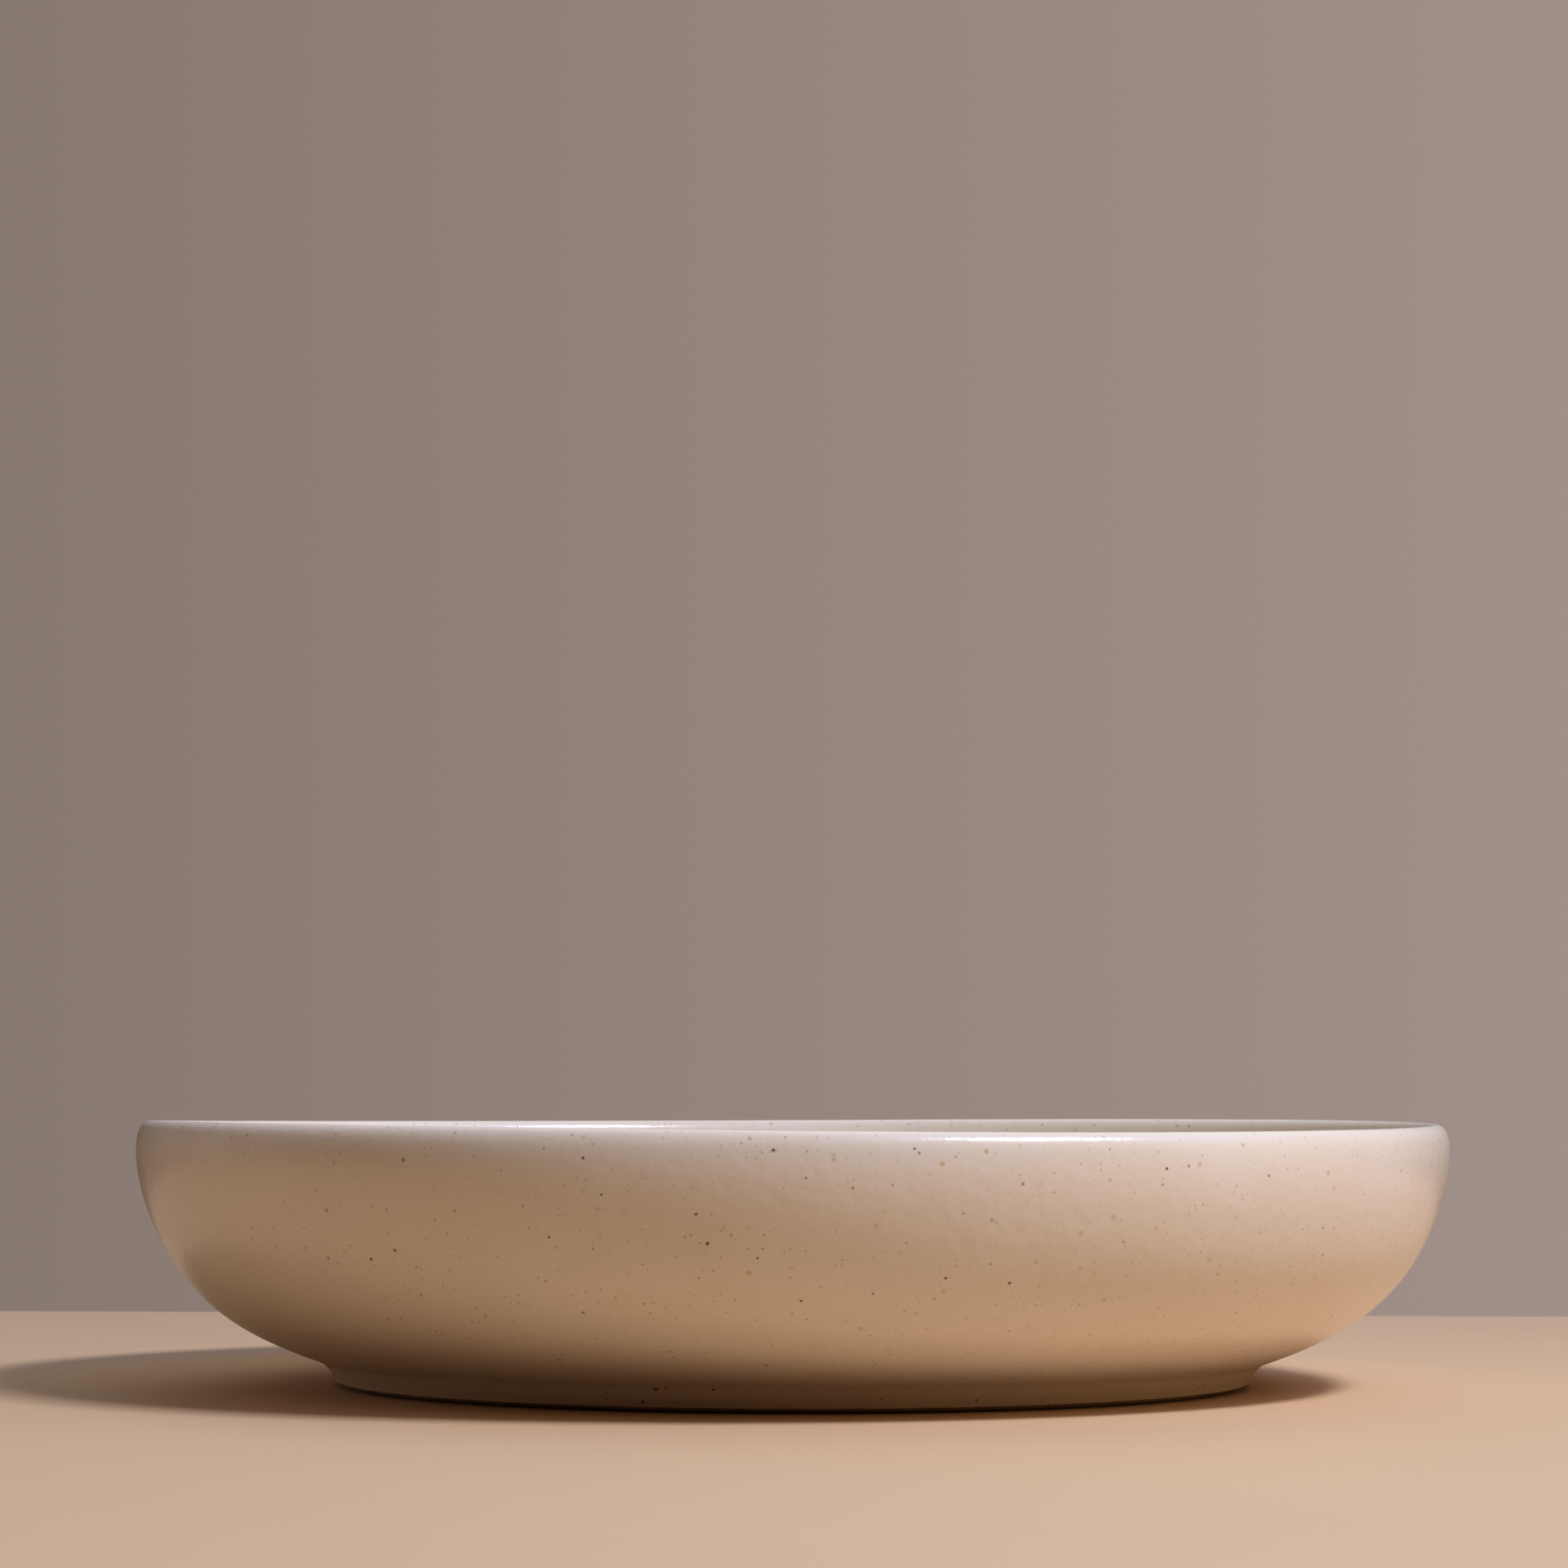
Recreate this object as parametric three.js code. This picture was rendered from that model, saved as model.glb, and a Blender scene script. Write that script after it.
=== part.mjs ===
// Serving bowl: a low, wide, turned stoneware bowl on a luted foot ring, with a
// satin speckled glaze inside, outside and in the recess under the foot.
// Millimetres, +Z up. Origin: centre of the foot's resting plane, on the bowl's axis.
// Every piece is a ring or a disc turned about Z, and neighbours share their
// profile points, so they meet face to face.

import * as THREE from 'three';

// ---- driving dimensions -------------------------------------------------------
const SEGMENTS = 48;            // facets round the axis
const GLAZE = 0.5;              // thickness of each glaze coat

const RIM_RADIUS = 150.0;       // widest radius, a little below the lip
const RIM_RADIUS_Z = 52.6;      // height of the widest ring
const LIP_R = 147.25;           // crest of the rounded lip
const LIP_Z = 59.6;             // overall height
const MEET_R = 144.4;           // line inside the lip where the two coats meet
const MEET_Z = 54.0;

const FLOOR_Z = 11.8;           // flat floor inside
const FLOOR_R = 90.0;

const FOOT_OUT_R = 101.4;       // outer edge of the flat resting face
const FOOT_IN_R = 98.2;         // inner edge of the flat resting face
const FOOT_BARE_Z = 1.3;        // bare clay band below the glaze on the foot
const FOOT_SEAT_Z = 5.2;        // top face of the foot ring, where the slip lies
const SLIP_BED = 0.7;           // thickness of the slip bed between ring and bowl
const FOOT_SEAT_OUT_R = 104.4;
const FOOT_SEAT_IN_R = 97.8;
const RECESS_Z = 5.4;           // underside of the bowl inside the foot ring
const RECESS_FLAT_R = 91.0;

// outside face of the glaze, from the foot up over the lip to the meeting line
const OUTSIDE = [
  [104.75, FOOT_BARE_Z],
  [105.7, 3.2],
  [106.35, 4.15],               // foot ends, cove begins
  [107.5, 5.25],
  [109.7, 6.3],
  [113.3, 7.58],                // cove ends, wall begins
  [118.9, 9.9],
  [124.9, 12.9],
  [130.46, 16.54],
  [135.9, 21.3],
  [140.56, 26.9],
  [144.35, 33.1],
  [147.23, 39.72],
  [149.1, 46.0],
  [RIM_RADIUS, RIM_RADIUS_Z],
  [149.72, 56.7],
  [148.7, 58.8],
  [LIP_R, LIP_Z],
  [145.7, 58.95],
  [144.75, 57.2],
  [MEET_R, MEET_Z],
];
const COVE_START = 2;           // first and last point of the outer cove in OUTSIDE
const COVE_END = 5;

// inside face of the glaze, from the meeting line down to the axis
const INSIDE = [
  [MEET_R, MEET_Z],
  [143.9, 49.2],
  [142.2, 43.0],
  [139.5, 36.5],
  [135.72, 30.4],
  [130.66, 24.6],
  [124.64, 19.9],
  [117.74, 16.2],
  [109.5, 13.5],
  [100.0, 12.1],
  [FLOOR_R, FLOOR_Z],
  [0, FLOOR_Z],
];

// face of the glaze in the recess under the bowl, from the axis out to the foot
const RECESS = [
  [0, RECESS_Z],
  [RECESS_FLAT_R, RECESS_Z],    // inner cove begins
  [93.9, 5.0],
  [95.4, 4.0],                  // inner cove ends, foot's inner wall begins
  [96.2, 2.8],
  [96.7, FOOT_BARE_Z],
];
const INNER_COVE_START = 1;
const INNER_COVE_END = 3;

// ---- profile helpers ------------------------------------------------------------
// moves each point of an open profile by d along its mean normal (left of travel);
// a point on the axis only moves along the axis
function offsetProfile(points, d) {
  const n = points.length;
  return points.map(([r, z], i) => {
    const a = points[Math.max(i - 1, 0)];
    const b = points[Math.min(i + 1, n - 1)];
    const unit = (p, q) => {
      const l = Math.hypot(q[0] - p[0], q[1] - p[1]);
      return [-(q[1] - p[1]) / l, (q[0] - p[0]) / l];
    };
    const here = [r, z];
    const n1 = i > 0 ? unit(a, here) : unit(here, b);
    const n2 = i < n - 1 ? unit(here, b) : unit(a, here);
    let nx = n1[0] + n2[0];
    let nz = n1[1] + n2[1];
    const s = 1 + n1[0] * n2[0] + n1[1] * n2[1];   // mitre, so the coat keeps its thickness
    nx /= s;
    nz /= s;
    if (r === 0) return [0, z + d * nz];
    return [r + d * nx, z + d * nz];
  });
}

// clay faces under the coats; the end points stay level with the coat's own end
const clayOutside = offsetProfile(OUTSIDE, GLAZE);
clayOutside[0] = [OUTSIDE[0][0] - GLAZE, FOOT_BARE_Z];
const clayInside = offsetProfile(INSIDE, GLAZE);
const lipSeam = [MEET_R + GLAZE, MEET_Z];   // clay ring under the meeting line of the coats
clayOutside[clayOutside.length - 1] = lipSeam;
clayInside[0] = lipSeam;
const clayRecess = offsetProfile(RECESS, GLAZE);
clayRecess[clayRecess.length - 1] = [RECESS[RECESS.length - 1][0] + GLAZE, FOOT_BARE_Z];

// turns a profile about Z; the profile runs anticlockwise seen with r to the right and z up
function turned(name, profile, colour, roughness) {
  const pts = profile.map(([r, z]) => new THREE.Vector2(r, z));
  if (profile[0][0] !== 0) pts.push(pts[0].clone());
  const geometry = new THREE.LatheGeometry(pts, SEGMENTS);
  // each facet is split from its lower corner to its upper one, whichever way the
  // profile runs, so a face shared by two pieces is the same triangles in both
  const n = pts.length;
  const index = [];
  for (let i = 0; i < SEGMENTS; i++) {
    for (let j = 0; j < n - 1; j++) {
      const a = i * n + j;
      const b = a + n;
      const rising = pts[j + 1].y > pts[j].y || (pts[j + 1].y === pts[j].y && pts[j + 1].x > pts[j].x);
      if (rising) index.push(a, b, a + 1, b + 1, a + 1, b);
      else index.push(a, b, b + 1, a, b + 1, a + 1);
    }
  }
  geometry.setIndex(index);
  geometry.rotateX(Math.PI / 2);        // the lathe's Y axis becomes Z
  const material = new THREE.MeshStandardMaterial({ color: colour, roughness, metalness: 0 });
  const mesh = new THREE.Mesh(geometry, material);
  mesh.name = name;
  return mesh;
}

// ---- profiles --------------------------------------------------------------------
const coveTop = clayOutside[COVE_END];
const coveFoot = clayOutside[COVE_START];
const innerCoveTop = clayRecess[INNER_COVE_START];
const innerCoveFoot = clayRecess[INNER_COVE_END];

// faces of the slip bed, from outside to inside
const seatOnBowl = [
  [FOOT_SEAT_OUT_R, FOOT_SEAT_Z + SLIP_BED],
  [FOOT_SEAT_IN_R, FOOT_SEAT_Z + SLIP_BED],
];
const seatOnRing = [
  [FOOT_SEAT_OUT_R, FOOT_SEAT_Z],
  [FOOT_SEAT_IN_R, FOOT_SEAT_Z],
];

const bodyProfile = [
  clayRecess[0],
  innerCoveTop,
  seatOnBowl[1],
  seatOnBowl[0],
  ...clayOutside.slice(COVE_END),
  ...clayInside.slice(1),
];

const slipProfile = [
  innerCoveTop,
  ...clayRecess.slice(INNER_COVE_START + 1, INNER_COVE_END + 1),
  seatOnRing[1],
  seatOnRing[0],
  ...clayOutside.slice(COVE_START, COVE_END + 1),
  seatOnBowl[0],
  seatOnBowl[1],
];

const ringProfile = [
  ...clayRecess.slice(INNER_COVE_END),
  [97.55, 0.35],
  [FOOT_IN_R, 0],
  [FOOT_OUT_R, 0],              // from here the edge is eased back up to the glaze
  [102.9, 0.45],
  [103.85, 0.9],
  ...clayOutside.slice(0, COVE_START + 1),
  seatOnRing[0],
  seatOnRing[1],
];

const outerGlazeProfile = [...OUTSIDE, ...clayOutside.slice().reverse()];
const innerGlazeProfile = [...clayInside.slice().reverse(), ...INSIDE];
const undersideGlazeProfile = [...RECESS, ...clayRecess.slice().reverse()];

// ---- assembly --------------------------------------------------------------------
const bowl = new THREE.Group();
bowl.name = 'serving_bowl';
bowl.add(
  turned('bowl_body', bodyProfile, 0xb9a68e, 0.85),
  turned('foot_ring', ringProfile, 0xb29d84, 0.88),
  turned('slip_joint', slipProfile, 0xa8947c, 0.9),
  turned('outer_glaze', outerGlazeProfile, 0xdccdb8, 0.42),
  turned('inner_glaze', innerGlazeProfile, 0xddd0bd, 0.42),
  turned('underside_glaze', undersideGlazeProfile, 0xd6c7b1, 0.45),
);

export default bowl;
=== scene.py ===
import math

import bpy
import numpy as np
from mathutils import Matrix, Vector


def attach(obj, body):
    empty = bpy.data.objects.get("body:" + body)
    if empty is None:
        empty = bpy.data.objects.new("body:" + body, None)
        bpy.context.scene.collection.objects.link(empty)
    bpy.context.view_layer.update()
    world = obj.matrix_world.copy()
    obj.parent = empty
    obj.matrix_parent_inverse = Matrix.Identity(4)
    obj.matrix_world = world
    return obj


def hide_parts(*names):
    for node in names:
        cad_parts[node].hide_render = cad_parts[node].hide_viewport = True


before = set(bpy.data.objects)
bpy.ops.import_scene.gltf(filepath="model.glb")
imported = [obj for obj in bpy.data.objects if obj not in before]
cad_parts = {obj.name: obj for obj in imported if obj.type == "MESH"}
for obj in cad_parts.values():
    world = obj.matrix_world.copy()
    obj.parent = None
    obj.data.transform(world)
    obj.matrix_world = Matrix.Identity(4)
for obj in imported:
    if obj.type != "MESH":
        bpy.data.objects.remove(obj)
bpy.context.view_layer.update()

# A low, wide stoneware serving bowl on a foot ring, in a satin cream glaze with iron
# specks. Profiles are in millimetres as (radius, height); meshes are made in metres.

MM = 0.001
SEGMENTS = 384                # facets round the axis, a multiple of 3
HEIGHT = 59.6
GLAZE = 0.5                   # thickness of the glaze coats
GAP = 0.02                    # air left between a coat and the clay behind it

# ---- profiles ----------------------------------------------------------------------
# face of the outside coat, from just above its rolled edge on the foot, up the wall,
# over the lip and down to the line inside it where the two coats meet
OUTSIDE = [
    (104.62, 1.50), (104.86, 1.95), (105.22, 2.55), (105.68, 3.25), (106.20, 4.00),
    (106.86, 4.76), (107.80, 5.46), (109.20, 6.08), (111.10, 6.78), (113.30, 7.58),
    (115.60, 8.50), (118.20, 9.58), (120.60, 10.68), (123.05, 11.89), (125.65, 13.34),
    (128.03, 14.82), (130.46, 16.54), (132.65, 18.29), (134.85, 20.29), (136.93, 22.42),
    (138.76, 24.54), (140.56, 26.90), (142.21, 29.37), (143.64, 31.77), (145.00, 34.40),
    (146.15, 36.95), (147.23, 39.72), (148.17, 42.54), (148.93, 45.26), (149.54, 48.19),
    (149.90, 50.98), (150.00, 53.20), (149.90, 55.10), (149.64, 56.70), (149.28, 57.75),
    (148.76, 58.62), (148.06, 59.26), (147.25, 59.58), (146.36, 59.42), (145.58, 58.82),
    (145.04, 57.88), (144.70, 56.55), (144.50, 55.30), (144.40, 54.00),
]
BEAD = [(104.25, 1.30), (104.33, 1.17), (104.47, 1.17), (104.57, 1.30)]

# face of the inside coat, from the meeting line down the wall to the axis
INSIDE = [
    (144.40, 54.00), (144.26, 51.60), (143.93, 49.20), (143.40, 46.70), (142.65, 44.20),
    (141.78, 41.70), (140.78, 39.20), (139.70, 36.90), (138.49, 34.60), (135.72, 30.40),
    (132.50, 26.50), (128.72, 22.90), (124.64, 19.90), (120.18, 17.30), (115.35, 15.15),
    (110.00, 13.50), (104.00, 12.42), (97.00, 11.90), (90.00, 11.80), (84.00, 11.80),
    (78.00, 11.80), (70.00, 11.80), (60.00, 11.80), (45.00, 11.80), (30.00, 11.80),
    (15.00, 11.80), (0.00, 11.80),
]

# face of the coat in the recess under the bowl, from the axis out to its edge on the foot
RECESS = [
    (0.00, 5.40), (20.00, 5.40), (40.00, 5.40), (60.00, 5.40), (75.00, 5.40), (84.00, 5.40),
    (90.00, 5.36), (92.40, 5.22), (94.00, 4.85), (95.20, 4.10), (95.90, 3.20), (96.35, 2.40),
    (96.62, 1.75),
]
RECESS_BEAD = [(96.72, 1.42), (96.84, 1.27), (97.00, 1.25), (97.17, 1.36)]

# bare clay of the foot ring, from its inner glaze line, under the resting edge, to the outer one
FOOT = [
    (97.22, 1.36), (97.30, 0.85), (97.52, 0.40), (97.90, 0.10), (98.40, 0.00), (99.20, 0.00),
    (100.00, 0.00), (100.80, 0.00), (101.40, 0.03), (102.05, 0.17), (102.75, 0.40), (103.40, 0.67),
    (103.88, 0.95), (104.14, 1.18), (104.20, 1.36),
]
SEAT_Z = 5.2                  # top of the foot ring, where the joining slip lies
SLIP_BED = 0.7
SEAT_OUT_R, SEAT_IN_R = 104.4, 97.8
COVE_FOOT_Z, COVE_TOP_R = 4.15, 113.3          # ends of the outer cove
IN_COVE_FOOT_Z, IN_COVE_TOP_R = 4.0, 91.0      # ends of the inner cove


def smooth(points):
    """Natural cubic spline over chord length; returns a function and the length."""
    p = np.array(points, float)
    t = np.concatenate([[0.0], np.cumsum(np.hypot(*np.diff(p, axis=0).T))])
    n, h = len(t), np.diff(t)
    a, b = np.eye(n), np.zeros((n, 2))
    for i in range(1, n - 1):
        a[i, i - 1], a[i, i], a[i, i + 1] = h[i - 1], 2 * (h[i - 1] + h[i]), h[i]
        b[i] = 6 * ((p[i + 1] - p[i]) / h[i] - (p[i] - p[i - 1]) / h[i - 1])
    m = np.linalg.solve(a, b)

    def at(q):
        q = np.clip(np.asarray(q, float), 0, t[-1])
        i = np.clip(np.searchsorted(t, q, side="right") - 1, 0, n - 2)
        u, w, hh = (t[i + 1] - q)[:, None], (q - t[i])[:, None], h[i][:, None]
        return (m[i] * u**3 + m[i + 1] * w**3) / (6 * hh) \
            + (p[i] / hh - m[i] * hh / 6) * u + (p[i + 1] / hh - m[i + 1] * hh / 6) * w

    return at, t[-1]


def sampled(points, step, turn=4.0, least=0.1):
    """Points along the smooth curve, closer together where it bends, and the unit normals
    to the right of travel."""
    at, length = smooth(points)
    q = np.linspace(0, length, 6000)
    c = at(q)
    d = np.gradient(c, q, axis=0)
    angle = np.unwrap(np.arctan2(d[:, 1], d[:, 0]))
    bend = np.abs(np.gradient(angle, q)) / math.radians(turn)
    cost = np.clip(np.maximum(bend, 1 / step), None, 1 / least)
    total = np.concatenate([[0], np.cumsum((cost[1:] + cost[:-1]) / 2 * np.diff(q))])
    count = int(math.ceil(total[-1])) + 1
    s = np.interp(np.linspace(0, total[-1], count), total, q)
    slope = np.interp(s, q, angle)
    return at(s), np.stack([np.sin(slope), -np.cos(slope)], 1)


# ---- how a hand-made bowl leaves the true circle --------------------------------------
PHI = np.arange(SEGMENTS) * 2 * math.pi / SEGMENTS
rng = np.random.default_rng(41)
WAVES = [(k, rng.uniform(0, 2 * math.pi), rng.uniform(0.03, 0.16), rng.uniform(0, 2 * math.pi),
          0.05 / (1 + 0.12 * k)) for k in (2, 3, 5, 7, 9, 12, 15, 19, 24, 29)]


def warp(z, phi):
    """Rise of the wall in mm: the rim sits a little out of flat after firing, the foot is true."""
    return (0.48 * np.sin(2 * phi) + 0.33 * np.cos(2 * phi)) * np.clip(z / HEIGHT, 0, 1) ** 1.6


def swell(r, z, phi):
    """Slow unevenness of a poured coat, a few hundredths of a millimetre."""
    return 0.5 * sum(a * np.cos(k * phi + p) * np.cos(f * (z + 0.35 * r) + q)
                     for k, p, f, q, a in WAVES)


# ---- turned meshes ---------------------------------------------------------------------
def turned(name, rows, normals, shift, uv_face):
    """Turns a closed profile about Z. The profile runs anticlockwise seen with r to the
    right and z up, and starts and ends on the axis or closes on itself. shift gives, for
    each row, how far its points move along the normal round the turn."""
    n = len(rows)
    pole = rows[:, 0] < 1e-4
    verts, start = [], []
    for i in range(n):
        r, z = rows[i]
        start.append(len(verts))
        if pole[i]:
            verts.append((0.0, 0.0, z * MM))
            continue
        d = shift(i, r, z)
        rr = r + d * normals[i, 0]
        zz = z + d * normals[i, 1] + warp(z, PHI)
        verts.extend(map(tuple, np.stack([rr * np.cos(PHI), rr * np.sin(PHI), zz], 1) * MM))
    faces, uvs = [], []
    pairs = [(i, i + 1) for i in range(n - 1)] + ([] if pole[0] else [(n - 1, 0)])
    for i, k in pairs:
        for j in range(SEGMENTS):
            e = (j + 1) % SEGMENTS
            if pole[i]:
                faces.append((start[i], start[k] + e, start[k] + j))
                corners = ((i, j + 0.5), (k, j + 1), (k, j))
            elif pole[k]:
                faces.append((start[i] + j, start[i] + e, start[k]))
                corners = ((i, j), (i, j + 1), (k, j + 0.5))
            else:
                faces.append((start[i] + j, start[i] + e, start[k] + e, start[k] + j))
                corners = ((i, j), (i, j + 1), (k, j + 1), (k, j))
            uvs.extend(uv_face(i, k, j, corners))
    mesh = bpy.data.meshes.new(name)
    mesh.from_pydata(verts, [], faces)
    mesh.shade_smooth()
    mesh.set_sharp_from_angle(angle=math.radians(40))
    layer = mesh.uv_layers.new(name="OFBake")
    layer.data.foreach_set("uv", np.array(uvs, np.float32).ravel())
    obj = bpy.data.objects.new(name, mesh)
    bpy.context.scene.collection.objects.link(obj)
    return obj


def lengths(rows):
    return np.concatenate([[0], np.cumsum(np.hypot(*np.diff(rows, axis=0).T))])


def strip_map(rows, first, last):
    """Lays the rows first to last out as three strips, a third of the turn each, one above
    the other, and the rest of the section as three thin strips below them."""
    s = np.append(lengths(rows), 0)
    s[-1] = s[-2] + np.hypot(*(rows[0] - rows[-1]))
    low = 0.07

    def uv_face(i, k, j, corners):
        third = int(j * 3 // SEGMENTS)
        seen = first <= i and k <= last and k == i + 1
        out = []
        for row, seg in corners:
            u = 0.003 + 0.994 * (seg * 3 / SEGMENTS - third)
            if seen:
                v = low + (1 - low) / 3 * (third + 0.006 + 0.988 * (s[row] - s[first]) / (s[last] - s[first]))
            elif i >= last:
                at = s[-1] if row == 0 else s[row]
                v = low / 3 * (third + 0.06 + 0.6 * (at - s[last]) / (s[-1] - s[last]))
            else:
                v = low / 3 * (third + 0.7 + 0.24 * s[row] / max(s[first], 1e-6))
            out.append((u, v))
        return out

    return uv_face


def disc_map(rows, split, first_disc, second_disc):
    """Lays the rows up to split out as one flat disc and the rest as another. A disc is
    (centre u, centre v, radius), and its centre is where the rows meet the axis."""
    s = lengths(rows)

    def uv_face(i, k, j, corners):
        out = []
        for row, seg in corners:
            a = 2 * math.pi * seg / SEGMENTS
            if k <= split:
                (u, v, size), q = first_disc, s[row] / s[split]
            else:
                (u, v, size), q = second_disc, (s[-1] - s[row]) / (s[-1] - s[split])
            out.append((u + size * q * math.cos(a), v + size * q * math.sin(a)))
        return out

    return uv_face


def thin(rows, keep):
    """Every keep-th row, with both ends."""
    return rows[sorted(set(range(0, len(rows), keep)) | {len(rows) - 1})]


def no_shift(i, r, z):
    return np.zeros(SEGMENTS)


def join(*parts):
    return np.vstack([np.atleast_2d(np.array(p, float)) for p in parts])


out_face, out_normal = sampled(OUTSIDE, 1.7)
in_face, in_normal = sampled(INSIDE, 1.9)
rec_face, rec_normal = sampled(RECESS, 3.0)
out_clay = out_face - GLAZE * out_normal
in_clay = in_face - GLAZE * in_normal
rec_clay = rec_face - GLAZE * rec_normal
out_clay[-1] = in_clay[0] = (144.9, 54.0)
out_clay[0] = (104.25, 1.62)
rec_clay[-1] = (97.17, 1.85)

# outside coat: bead, wall, lip, meeting line, then back down along the clay
bead, bead_normal = sampled(BEAD + OUTSIDE[:1], 0.12, 20, 0.05)
seen_rows, seen_normal = join(bead[:-1], out_face), join(bead_normal[:-1], out_normal)
back = thin(out_clay[::-1], 2)
rows = join(seen_rows, back)
seen_last = len(seen_rows) - 1
fade = np.clip((seen_rows[:, 1] - 2.0) / 3.0, 0, 1) * np.clip(lengths(seen_rows[::-1])[::-1] / 6.0, 0, 1)


def outer_shift(i, r, z):
    return fade[i] * swell(r, z, PHI) if i <= seen_last else np.zeros(SEGMENTS)


outer = turned("outer_glaze_coat", rows, join(seen_normal, np.zeros((len(back), 2))),
               outer_shift, strip_map(rows, 0, seen_last))

# inside coat: along the clay from the axis up to the meeting line, then down the seen face
back = thin(in_clay, 2)[::-1]
rows = join(back, in_face)
split = len(back)
ring_fade = np.clip(lengths(in_face) / 8.0, 0, 1)
ring_run = lengths(in_face)


def inner_shift(i, r, z):
    if i < split:
        return np.zeros(SEGMENTS)
    k = i - split
    turn = ring_run[k] / 7.5 + PHI / (2 * math.pi)         # one slow spiral left by the potter's rib
    spiral = 0.028 * np.cos(2 * math.pi * turn) * min(1.0, r / 12.0)
    return ring_fade[k] * (spiral + swell(r, z + 40, PHI) * min(1.0, r / 30.0))


inner = turned("inner_glaze_coat", rows, join(np.zeros((len(back), 2)), in_normal), inner_shift,
               disc_map(rows, split, (0.065, 0.065, 0.06), (0.5, 0.5, 0.495)))

# coat in the recess under the bowl
bead, bead_normal = sampled(RECESS[-1:] + RECESS_BEAD, 0.12, 20, 0.05)
seen_rows, seen_normal = join(rec_face, bead[1:]), join(rec_normal, bead_normal[1:])
back = thin(rec_clay[::-1], 2)
rows = join(seen_rows, back)
split = len(seen_rows) - 1
rec_fade = np.clip((seen_rows[:, 1] - 2.0) / 2.0, 0, 1)


def under_shift(i, r, z):
    if i > split:
        return np.zeros(SEGMENTS)
    return rec_fade[i] * swell(r, z + 90, PHI) * min(1.0, r / 30.0)


under = turned("underside_glaze_coat", rows, join(seen_normal, np.zeros((len(back), 2))), under_shift,
               disc_map(rows, split, (0.5, 0.5, 0.495), (0.065, 0.065, 0.06)))


# the clay keeps a hair's gap behind the coats
def behind(rows, normals, first=None, last=None):
    return rows - (GLAZE + GAP) * normals


wall = behind(out_face, out_normal)
wall = wall[out_face[:, 0] * (np.arange(len(out_face)) < len(out_face) * 0.7) + 1e3 * (
    np.arange(len(out_face)) >= len(out_face) * 0.7) >= COVE_TOP_R]
cove = behind(out_face, out_normal)
cove = cove[(out_face[:, 1] >= COVE_FOOT_Z) & (out_face[:, 0] <= COVE_TOP_R) & (out_face[:, 1] < 10)]
foot_side = behind(out_face, out_normal)[(out_face[:, 1] < COVE_FOOT_Z) & (out_face[:, 1] > 1.7)]
in_wall = behind(in_face, in_normal)
wall[-1] = in_wall[0] = (144.9 + GAP, 54.0)
rec_back = behind(rec_face, rec_normal)
rec_flat = rec_back[rec_face[:, 0] <= IN_COVE_TOP_R]
in_cove = rec_back[(rec_face[:, 0] > IN_COVE_TOP_R) & (rec_face[:, 1] >= IN_COVE_FOOT_Z)]
in_foot_side = rec_back[rec_face[:, 1] < IN_COVE_FOOT_Z]
in_foot_side = in_foot_side[in_foot_side[:, 1] > 1.95]

seat_top, seat_low = SEAT_Z + SLIP_BED, SEAT_Z
body_rows = join(thin(rec_flat, 3), (SEAT_IN_R, seat_top), (SEAT_OUT_R, seat_top), thin(wall, 2),
                 thin(in_wall, 2)[1:])
body_rows[0, 0] = body_rows[-1, 0] = 0.0
crest = int(np.argmax(body_rows[:, 1]))
body = turned("stoneware_body", body_rows, np.zeros_like(body_rows), no_shift,
              disc_map(body_rows, crest, (0.25, 0.5, 0.245), (0.75, 0.5, 0.245)))

slip_rows = join(rec_flat[-1] + (0.02, 0.0), in_cove, (SEAT_IN_R, seat_low + 0.01), (SEAT_OUT_R, seat_low + 0.01),
                 cove, wall[0] - (0.02, 0.0), (SEAT_OUT_R, seat_top - 0.01), (SEAT_IN_R, seat_top - 0.01))
slip = turned("joining_slip", slip_rows, np.zeros_like(slip_rows), no_shift,
              strip_map(slip_rows, 0, len(slip_rows) - 1))

foot_curve, foot_normal = sampled(FOOT, 0.6, 14, 0.08)
ring_rows = join(in_foot_side, foot_curve, foot_side, (SEAT_OUT_R, seat_low), (SEAT_IN_R, seat_low))
ring_normals = np.zeros_like(ring_rows)
ring_normals[len(in_foot_side):len(in_foot_side) + len(foot_curve)] = foot_normal
grit = [(int(k), rng.uniform(0, 2 * math.pi), rng.uniform(0, 6), rng.uniform(0.002, 0.006))
        for k in (11, 23, 37, 53, 71, 88)]


def foot_shift(i, r, z):
    """The rubbed clay edge is slightly uneven; it only ever stands back from the resting plane."""
    if not ring_normals[i].any():
        return np.zeros(SEGMENTS)
    return -0.03 + sum(a * np.cos(k * PHI + p + q * r) for k, p, q, a in grit)


ring = turned("clay_foot_ring", ring_rows, ring_normals, foot_shift,
              strip_map(ring_rows, 0, len(ring_rows) - 3))


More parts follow.
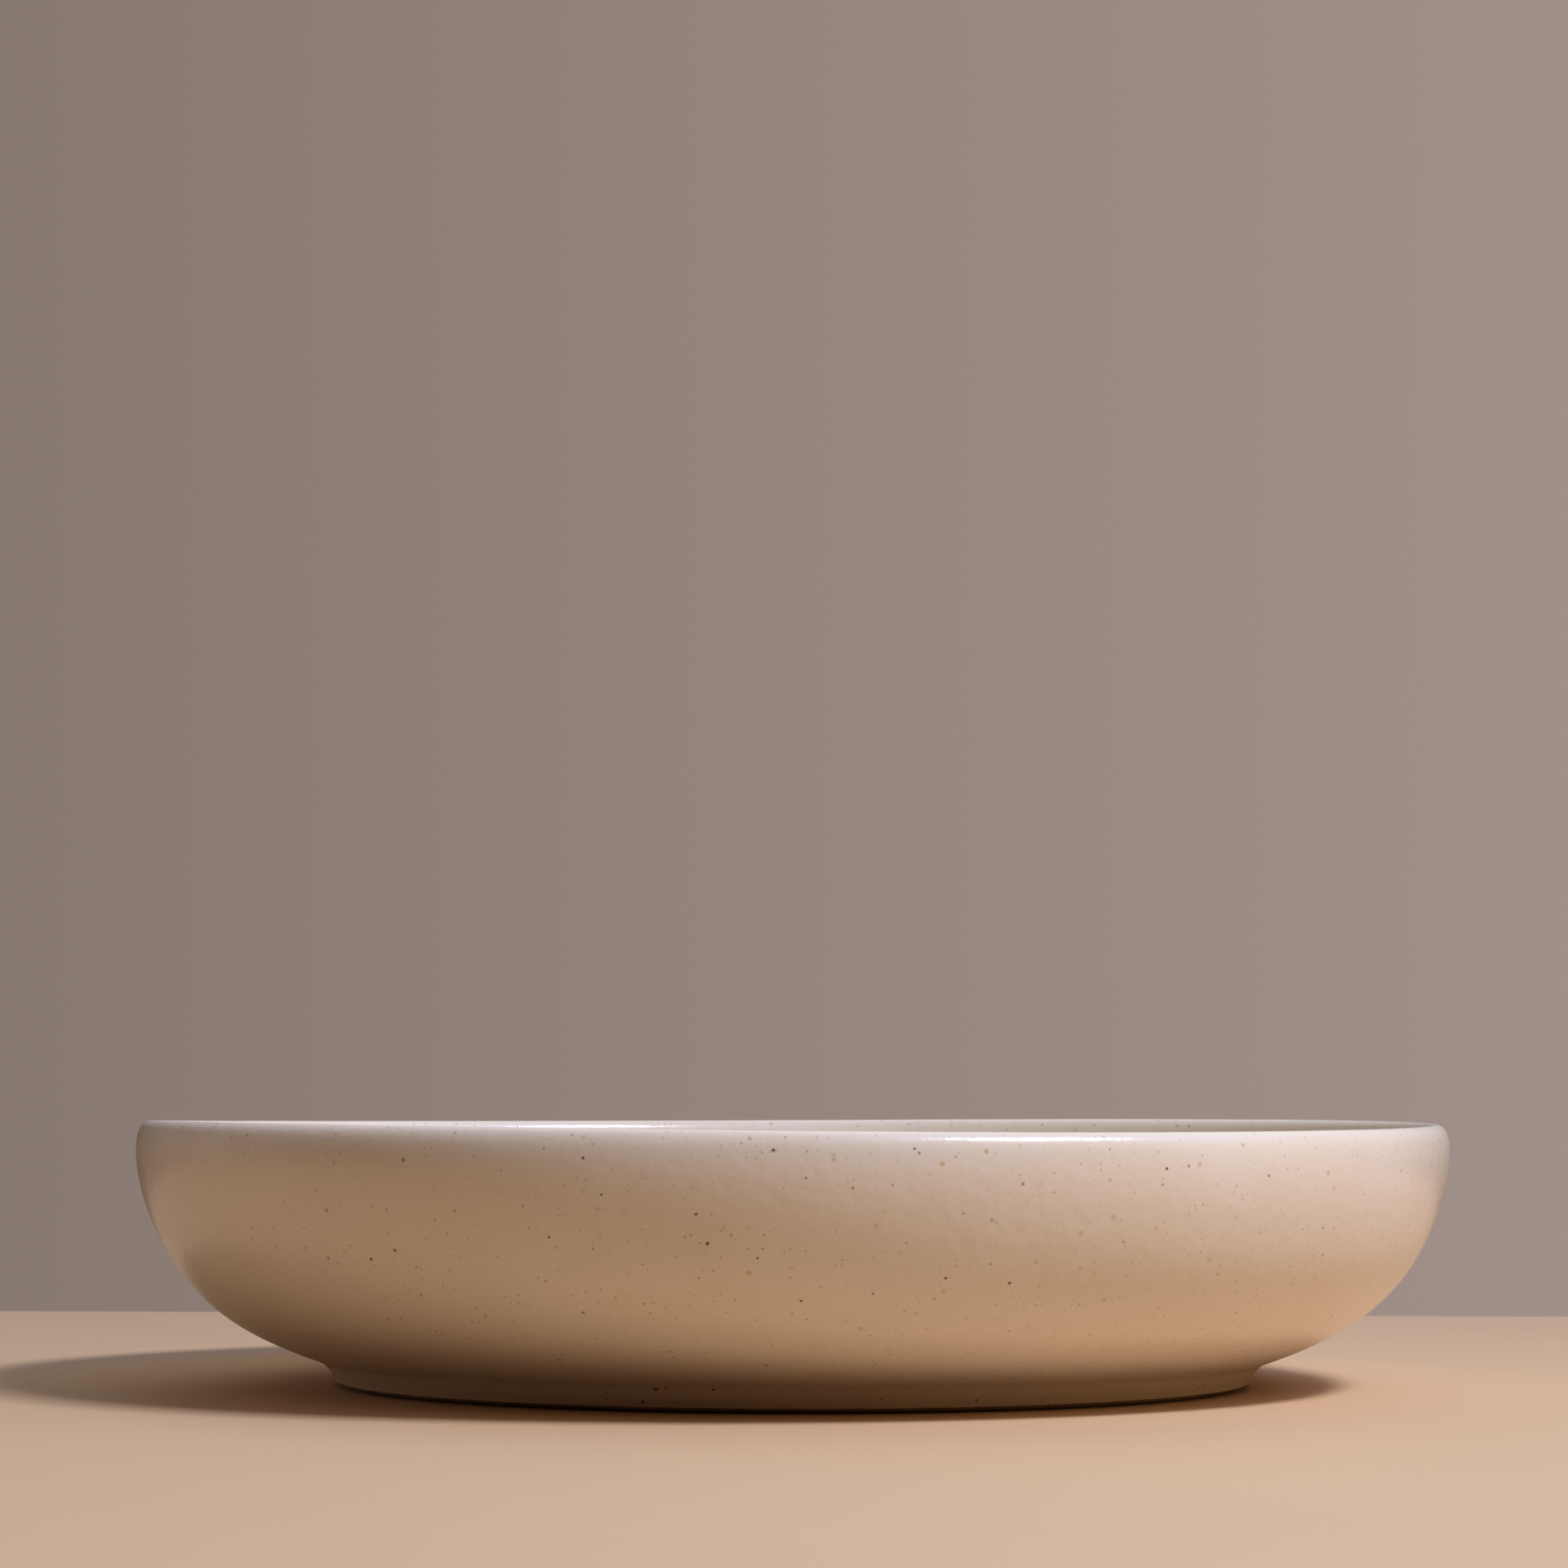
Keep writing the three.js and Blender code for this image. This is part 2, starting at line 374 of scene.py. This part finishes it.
# ---- materials ---------------------------------------------------------------------------
class Graph:
    """Short hand for a node tree."""

    def __init__(self, tree):
        self.tree = tree

    def new(self, kind, **values):
        node = self.tree.nodes.new(kind)
        for key, value in values.items():
            setattr(node, key, value)
        return node

    def put(self, socket, value):
        if isinstance(value, bpy.types.NodeSocket):
            self.tree.links.new(value, socket)
        elif value is not None:
            if socket.type == "RGBA" and len(value) == 3:
                value = (*value, 1.0)
            socket.default_value = value

    def math(self, op, a, b=None, clamp=False):
        node = self.new("ShaderNodeMath", operation=op, use_clamp=clamp)
        self.put(node.inputs[0], a)
        self.put(node.inputs[1], b)
        return node.outputs[0]

    def vector(self, op, a, b=None, scale=None):
        node = self.new("ShaderNodeVectorMath", operation=op)
        self.put(node.inputs[0], a)
        self.put(node.inputs[1], b)
        self.put(node.inputs[3], scale)
        return node.outputs[1] if op in ("DISTANCE", "LENGTH", "DOT_PRODUCT") else node.outputs[0]

    def mix(self, amount, a, b):
        node = self.new("ShaderNodeMix", data_type="RGBA")
        self.put(node.inputs[0], amount)
        self.put(node.inputs[6], a)
        self.put(node.inputs[7], b)
        return node.outputs[2]

    def noise(self, where, scale, detail=2.0, rough=0.5):
        node = self.new("ShaderNodeTexNoise")
        self.put(node.inputs["Vector"], where)
        self.put(node.inputs["Scale"], scale)
        self.put(node.inputs["Detail"], detail)
        self.put(node.inputs["Roughness"], rough)
        return node.outputs[0], node.outputs[1]

    def cells(self, where, scale):
        """Distance to the nearest seed in metres, and three random numbers for its cell."""
        node = self.new("ShaderNodeTexVoronoi", voronoi_dimensions="3D", feature="F1")
        self.put(node.inputs["Vector"], where)
        self.put(node.inputs["Scale"], scale)
        split = self.new("ShaderNodeSeparateColor")
        self.put(split.inputs[0], node.outputs["Color"])
        return self.math("DIVIDE", node.outputs["Distance"], scale), split.outputs

    def range(self, value, a, b, low=0.0, high=1.0):
        node = self.new("ShaderNodeMapRange", interpolation_type="SMOOTHSTEP", clamp=True)
        for i, v in enumerate((value, a, b, low, high)):
            self.put(node.inputs[i], v)
        return node.outputs[0]

    def spots(self, where, per_metre, kept, small, large, soft):
        """Spots of random size, one at most in each cell. kept is the share of cells that
        have one. Returns their mask, a wider halo's mask and a random number for each."""
        far, dice = self.cells(where, per_metre)
        size = self.math("MULTIPLY_ADD", self.math("POWER", dice[0], 1.8), large - small)
        size.node.inputs[2].default_value = small
        size = self.math("MULTIPLY", size, self.math("LESS_THAN", dice[1], kept))
        edge = self.math("DIVIDE", self.math("SUBTRACT", size, far), soft)
        mask = self.math("ADD", edge, 0.0, clamp=True)
        halo = self.math("SUBTRACT", 1.0, self.math("DIVIDE", far, self.math(
            "ADD", self.math("MULTIPLY", size, 2.4), 1e-7)), clamp=True)
        return mask, halo, dice[2]


def material(name):
    made = bpy.data.materials.new(name)
    made.use_nodes = True
    tree = made.node_tree
    g = Graph(tree)
    shader = next(n for n in tree.nodes if n.type == "BSDF_PRINCIPLED")
    where = g.new("ShaderNodeTexCoord").outputs["Object"]
    return made, g, shader, where


# specks that stand out on the front, darkest first, then amber spots: for each group its strength
# and its spots as (azimuth in degrees from +X, height, diameter in mm)
SPECKS = [
    (0.95, [
        (-106.3, 53.7, 0.57), (-104.9, 46.4, 0.42), (-96.7, 36.7, 0.68), (-89.3, 25.1, 0.57),
        (-92.8, 33.8, 0.42), (-97.5, 42.6, 0.57), (-91.5, 55.4, 0.57), (-109.6, 37.7, 0.49),
        (-108.1, 22.2, 0.49), (-83.4, 26.6, 0.42), (-77.5, 29.7, 0.53), (-72.0, 28.6, 0.61),
        (-127.2, 32.3, 0.62), (-124.3, 34.3, 0.62), (-59.5, 51.6, 0.57), (-105.4, 5.1, 1.00),
        (-104.1, 5.5, 0.66), (-98.8, 5.2, 0.77), (-107.3, 2.2, 0.73), (-68.5, 2.6, 0.55),
    ]),
    (0.66, [
        (-80.3, 54.9, 0.51), (-72.0, 48.7, 0.53), (-89.0, 49.9, 0.47), (-85.4, 47.9, 0.42),
        (-94.8, 38.4, 0.42), (-140.2, 57.6, 0.63), (-122.0, 53.0, 0.76), (-132.2, 32.3, 0.63),
        (-57.4, 52.1, 0.53), (-59.8, 48.3, 0.43), (-48.9, 49.9, 0.58), (-51.9, 29.6, 0.43),
    ]),
    (0.45, [
        (-130.7, 42.3, 0.86), (-134.6, 34.2, 0.55), (-123.4, 24.9, 0.65), (-142.5, 23.4, 0.80),
        (-124.3, 17.3, 0.70), (-49.4, 27.9, 0.50), (-79.9, 3.1, 0.73),
    ]),
]
AMBER = [(-78.5, 52.8, 1.05), (-75.0, 55.2, 1.10), (-93.5, 30.8, 1.15), (-51.7, 56.3, 0.95), (-41.5, 50.3, 1.00),
         (-29.1, 50.4, 1.00), (-86.9, 53.6, 0.85)]


def on_outside(azimuth, height):
    """Point of the outside face at an azimuth and a height above the table, in metres."""
    wall_part = out_face[:int(np.argmax(out_face[:, 1]))]
    a = math.radians(azimuth)
    r = np.interp(height - float(warp(height, a)), wall_part[:, 1], wall_part[:, 0])
    return Vector((r * math.cos(a), r * math.sin(a), height)) * MM


CREAM = (0.858, 0.736, 0.540)
CREAM_PALE = (0.885, 0.774, 0.590)
CREAM_WARM = (0.832, 0.698, 0.495)
SATIN = (0.20, 0.28)          # roughness where the coat is smoothest and where it is driest


def nearest(g, where, spots):
    """Distance in metres to the edge of the nearest spot, less than nothing inside it."""
    edge = None
    for azimuth, height, size in spots:
        far = g.math("SUBTRACT", g.vector("DISTANCE", where, on_outside(azimuth, height)), size / 2 * MM)
        edge = far if edge is None else g.math("MINIMUM", edge, far)
    return edge


def glaze(name, front=False):
    made, g, shader, where = material(name)
    _, jitter = g.noise(where, 2100.0, 1.0)
    bent = g.vector("ADD", where, g.vector("SCALE", g.vector("SUBTRACT", jitter, (0.5, 0.5, 0.5)), scale=0.00026))

    # body colour: slow drift of the coat's thickness, then a fine mottle
    slow, _ = g.noise(where, 22.0, 3.0, 0.55)
    fine, _ = g.noise(where, 420.0, 3.0, 0.6)
    colour = g.mix(g.range(slow, 0.30, 0.70), CREAM_WARM, CREAM_PALE)
    colour = g.mix(0.4, colour, CREAM)
    colour = g.mix(g.range(fine, 0.18, 0.86, 0.0, 0.42), colour, CREAM_WARM)

    if front:
        # painted shade and painted warm bounce light: the outside coat is made darker and warmer towards the
        # foot, where the overhang shades it and the floor throws warm light up
        level = g.new("ShaderNodeSeparateXYZ")
        g.put(level.inputs[0], where)
        colour = g.mix(g.range(level.outputs[2], 0.0085, 0.0035), colour, (0.770, 0.590, 0.370))

    # tan freckles, thicker in some places than in others, and fainter blots
    crowd, _ = g.noise(where, 60.0, 2.0)
    kept = g.range(crowd, 0.34, 0.66, 0.34, 1.0)
    freckle, _, tone = g.spots(bent, 700.0, kept, 0.00020, 0.00041, 0.00019)
    colour = g.mix(g.math("MULTIPLY", freckle, g.range(tone, 0.0, 1.0, 0.10, 0.63)), colour, (0.33, 0.165, 0.060))
    blur, _, tone = g.spots(bent, 360.0, 0.55, 0.00035, 0.00080, 0.00050)
    colour = g.mix(g.math("MULTIPLY", blur, g.range(tone, 0.0, 1.0, 0.10, 0.42)), colour, (0.48, 0.285, 0.13))

    # a few soft amber spots
    amber, amber_halo, tone = g.spots(bent, 75.0, 0.10, 0.0004, 0.0010, 0.0005)
    amber = g.math("MULTIPLY", amber, g.range(tone, 0.0, 1.0, 0.35, 0.75))
    iron_kept = 0.43
    if front:
        edge = nearest(g, bent, AMBER)
        amber = g.math("MAXIMUM", amber, g.range(edge, 0.00022, -0.00036, 0.0, 0.70))
        side = g.new("ShaderNodeSeparateXYZ")
        g.put(side.inputs[0], where)
        iron_kept = g.range(side.outputs[1], -0.096, -0.078, 0.10, 0.43)
    colour = g.mix(amber, colour, (0.58, 0.375, 0.105))

    # iron specks with a brown halo
    iron, halo, tone = g.spots(bent, 230.0, iron_kept, 0.00016, 0.00048, 0.00014)
    iron = g.math("MULTIPLY", iron, g.range(tone, 0.0, 1.0, 0.55, 1.0))
    if front:
        for strength, spots in SPECKS:
            edge = nearest(g, bent, spots)
            iron = g.math("MAXIMUM", iron, g.range(edge, 0.00014, -0.00011, 0.0, strength))
            halo = g.math("MAXIMUM", halo, g.range(edge, 0.00032, 0.0, 0.0, 0.7 * strength))
    colour = g.mix(g.math("MULTIPLY", halo, 0.30), colour, (0.43, 0.285, 0.165))
    colour = g.mix(g.math("MULTIPLY", iron, 0.98), colour, (0.090, 0.031, 0.003))
    g.put(shader.inputs["Base Color"], colour)

    # satin surface, drier over the iron
    satin = g.range(fine, 0.15, 0.85, *SATIN)
    g.put(shader.inputs["Roughness"], g.math("ADD", satin, g.math("MULTIPLY", iron, 0.18)))

    # skin of the coat: soft orange peel, a fine grain, and pits over the specks
    peel, _ = g.noise(where, 300.0, 2.0, 0.45)
    grain, _ = g.noise(where, 1500.0, 2.0, 0.5)
    height = g.math("ADD", g.math("MULTIPLY", peel, 1.0), g.math("MULTIPLY", grain, 0.07))
    height = g.math("SUBTRACT", height, g.math("MULTIPLY", iron, 0.25))
    bump = g.new("ShaderNodeBump")
    bump.inputs["Strength"].default_value = 1.0
    bump.inputs["Distance"].default_value = 0.000115
    g.put(bump.inputs["Height"], height)
    g.put(shader.inputs["Normal"], bump.outputs[0])
    shader.inputs["IOR"].default_value = 1.5
    return made


def clay(name, light, dark, rough, rubbed=False):
    made, g, shader, where = material(name)
    slow, jitter = g.noise(where, 55.0, 4.0, 0.6)
    grain, _ = g.noise(where, 1300.0, 3.0, 0.6)
    colour = g.mix(g.range(slow, 0.30, 0.72), light, dark)
    colour = g.mix(g.range(grain, 0.42, 0.75, 0.0, 0.40), colour, tuple(0.72 * c for c in dark))
    pale, _, tone = g.spots(where, 520.0, 0.30, 0.0001, 0.00045, 0.0001)
    colour = g.mix(g.math("MULTIPLY", pale, 0.45), colour, tuple(min(1, 1.25 * c) for c in light))
    iron, halo, _ = g.spots(where, 330.0, 0.22, 0.0001, 0.00035, 0.00007)
    colour = g.mix(g.math("MULTIPLY", halo, 0.35), colour, (0.30, 0.16, 0.08))
    colour = g.mix(g.math("MULTIPLY", iron, 0.85), colour, (0.055, 0.032, 0.02))
    level = g.new("ShaderNodeSeparateXYZ")
    g.put(level.inputs[0], where)
    if rubbed:
        # toasted just under the glaze line, paler where the edge is rubbed smooth
        toast = g.range(level.outputs[2], 0.0003, 0.0014, 0.0, 0.75)
        colour = g.mix(toast, colour, (0.36, 0.20, 0.105))
        smooth_edge = g.range(level.outputs[2], 0.00030, 0.00004)
        colour = g.mix(g.math("MULTIPLY", smooth_edge, 0.35), colour, tuple(min(1, 1.12 * c) for c in light))
        g.put(shader.inputs["Roughness"], g.math("SUBTRACT", g.range(grain, 0.3, 0.7, rough - 0.08, rough + 0.06),
                                                 g.math("MULTIPLY", smooth_edge, 0.16)))
    else:
        g.put(shader.inputs["Roughness"], g.range(grain, 0.3, 0.7, rough - 0.08, rough + 0.06))
    g.put(shader.inputs["Base Color"], colour)
    bump = g.new("ShaderNodeBump")
    bump.inputs["Strength"].default_value = 1.0
    bump.inputs["Distance"].default_value = 0.00005
    g.put(bump.inputs["Height"], g.math("ADD", grain, g.math("MULTIPLY", pale, 0.8)))
    g.put(shader.inputs["Normal"], bump.outputs[0])
    return made


PIECES = [
    (outer, "outer_glaze", "glaze_outside", glaze("speckled_glaze_outside", True)),
    (inner, "inner_glaze", "glaze_inside", glaze("speckled_glaze_inside")),
    (under, "underside_glaze", "glaze_underside", glaze("speckled_glaze_underside")),
    (body, "bowl_body", "stoneware", clay("buff_stoneware", (0.47, 0.37, 0.27), (0.38, 0.285, 0.20), 0.82)),
    (ring, "foot_ring", "foot_clay", clay("bare_foot_clay", (0.46, 0.355, 0.25), (0.37, 0.27, 0.18), 0.80, True)),
    (slip, "slip_joint", "joining_slip", clay("fired_slip", (0.42, 0.33, 0.24), (0.35, 0.265, 0.185), 0.86)),
]
for piece, node, slot, look in PIECES:
    piece.data.materials.append(look)
    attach(piece, "root")
    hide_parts(node)

# ---- stage: floor, light and camera --------------------------------------------------------
scene = bpy.context.scene
scene.view_settings.view_transform = "Standard"
scene.view_settings.look = "None"

BACK_LEFT, BACK_RIGHT = 0.341, 0.333          # back edge of the floor behind the bowl's axis
floor_mesh = bpy.data.meshes.new("pale_floor")
# a round opening under the foot ring, hidden by it, lets light into the recess in views from below
OPEN_R, OPEN_N = 0.0990, 120
corners = [(-1.6, -2.4), (1.6, -2.4), (1.6, BACK_RIGHT - 0.03), (-1.6, BACK_LEFT + 0.03)]
turns = [2 * math.pi * j / OPEN_N for j in range(OPEN_N)]
spots = corners + [(OPEN_R * math.cos(a), OPEN_R * math.sin(a)) for a in turns]


def facing(a):
    """Index of the floor's corner that lies nearest in direction to an angle."""
    return max(range(4), key=lambda i: Vector(corners[i]).normalized().dot(Vector((math.cos(a), math.sin(a)))))


panes = []
for j, a in enumerate(turns):
    here, past = facing(a + math.pi / OPEN_N), facing(a - math.pi / OPEN_N)
    panes.append((4 + j, here, 4 + (j + 1) % OPEN_N))
    if here != past:
        panes.append((4 + j, past, here))
floor_mesh.from_pydata([(x, y, -0.00003) for x, y in spots], [], panes)
floor = bpy.data.objects.new("pale_floor", floor_mesh)
scene.collection.objects.link(floor)
pale, g, shader, where = material("pale_floor")
tint, _ = g.noise(where, 9.0, 2.0)
g.put(shader.inputs["Base Color"], g.mix(tint, (0.680, 0.456, 0.240), (0.700, 0.470, 0.249)))
shader.inputs["Roughness"].default_value = 0.6
under_side = g.new("ShaderNodeNewGeometry").outputs["Backfacing"]
clear = g.new("ShaderNodeBsdfTransparent").outputs[0]
both = g.new("ShaderNodeMixShader")
g.put(both.inputs[0], under_side)
g.put(both.inputs[1], shader.outputs[0])
g.put(both.inputs[2], clear)
g.put(next(n for n in pale.node_tree.nodes if n.type == "OUTPUT_MATERIAL").inputs["Surface"], both.outputs[0])
floor_mesh.materials.append(pale)


def soft_panel(name, azimuth, elevation, distance, size, power, colour):
    """A flat panel light facing the origin; its long side lies level."""
    a, e = math.radians(azimuth), math.radians(elevation)
    towards = Vector((math.cos(e) * math.cos(a), math.cos(e) * math.sin(a), math.sin(e)))
    data = bpy.data.lights.new(name, "AREA")
    data.shape = "RECTANGLE"
    data.size, data.size_y = size
    data.energy = power
    data.color = colour
    obj = bpy.data.objects.new(name, data)
    level = Vector((0, 0, 1)).cross(towards).normalized()
    obj.matrix_world = Matrix.Translation(distance * towards) @ Matrix(
        (level, towards.cross(level), towards)).transposed().to_4x4()
    obj.visible_camera = False
    scene.collection.objects.link(obj)
    return obj


soft_panel("key", -37.0, 52.0, 1.6, (0.5, 0.22), 25.5, (0.757, 0.796, 1.0))

# soft room light: lobes with a direction, a sharpness and a colour
ROOM = [
    ((0.95, -0.10, 0.30), 12.0, (0.68, 0.50, 0.14)),      # low glow from the right
    ((0.60, -0.10, 0.79), 12.0, (0.08, 0.36, 1.90)),      # sky high on the right
    ((-0.85, 0.35, 0.40), 6.0, (0.54, 0.47, 0.50)),       # far left
    ((0.10, 0.60, 0.80), 8.0, (1.03, 0.95, 0.84)),        # overhead, behind the bowl
    ((0.0, 0.0, -1.0), 2.0, (0.86, 0.81, 0.86)),          # from below, reaching only the recess
]
world = bpy.data.worlds.new("studio")
scene.world = world
world.use_nodes = True
g = Graph(world.node_tree)
background = next(n for n in world.node_tree.nodes if n.type == "BACKGROUND")
look = g.new("ShaderNodeSeparateXYZ")
way = g.new("ShaderNodeTexCoord").outputs["Generated"]
g.put(look.inputs[0], way)
light = None
for axis, sharp, colour in ROOM:
    share = g.math("MAXIMUM", g.vector("DOT_PRODUCT", way, Vector(axis).normalized()), 0.0)
    part = g.vector("SCALE", colour, scale=g.math("POWER", share, sharp))
    light = part if light is None else g.vector("ADD", light, part)
# the backdrop seen behind the bowl, a little brighter to the right
# painted light: the backdrop is brighter on the right, where the key light falls
across = g.range(look.outputs[0], -0.20, 0.20)
across.node.interpolation_type = "LINEAR"
backdrop = g.mix(across, (0.228, 0.179, 0.158), (0.366, 0.291, 0.261))
seen = g.new("ShaderNodeLightPath").outputs["Is Camera Ray"]
g.put(background.inputs["Color"], g.mix(seen, light, backdrop))
background.inputs["Strength"].default_value = 1.0

# camera: a long lens from close above the rim's height, tilted slightly up
FOCAL_PX = 5900.0
camera = bpy.data.cameras.new("camera")
camera.sensor_fit = "HORIZONTAL"
camera.sensor_width = 36.0
camera.lens = 36.0 * FOCAL_PX / 1920.0
camera.clip_start, camera.clip_end = 0.01, 50.0
pitch, yaw, roll = math.radians(3.57), math.radians(0.116), math.radians(0.14)
right = Vector((math.cos(yaw), math.sin(yaw), 0))
ahead = Vector((-math.sin(yaw) * math.cos(pitch), math.cos(yaw) * math.cos(pitch), math.sin(pitch)))
up = right.cross(ahead)
right, up = math.cos(roll) * right + math.sin(roll) * up, math.cos(roll) * up - math.sin(roll) * right
camera_object = bpy.data.objects.new("camera", camera)
scene.collection.objects.link(camera_object)
turn = Matrix((right, up, -ahead)).transposed().to_4x4()
turn.translation = Vector((0.0, -1.113, 0.0685))
camera_object.matrix_world = turn
scene.camera = camera_object
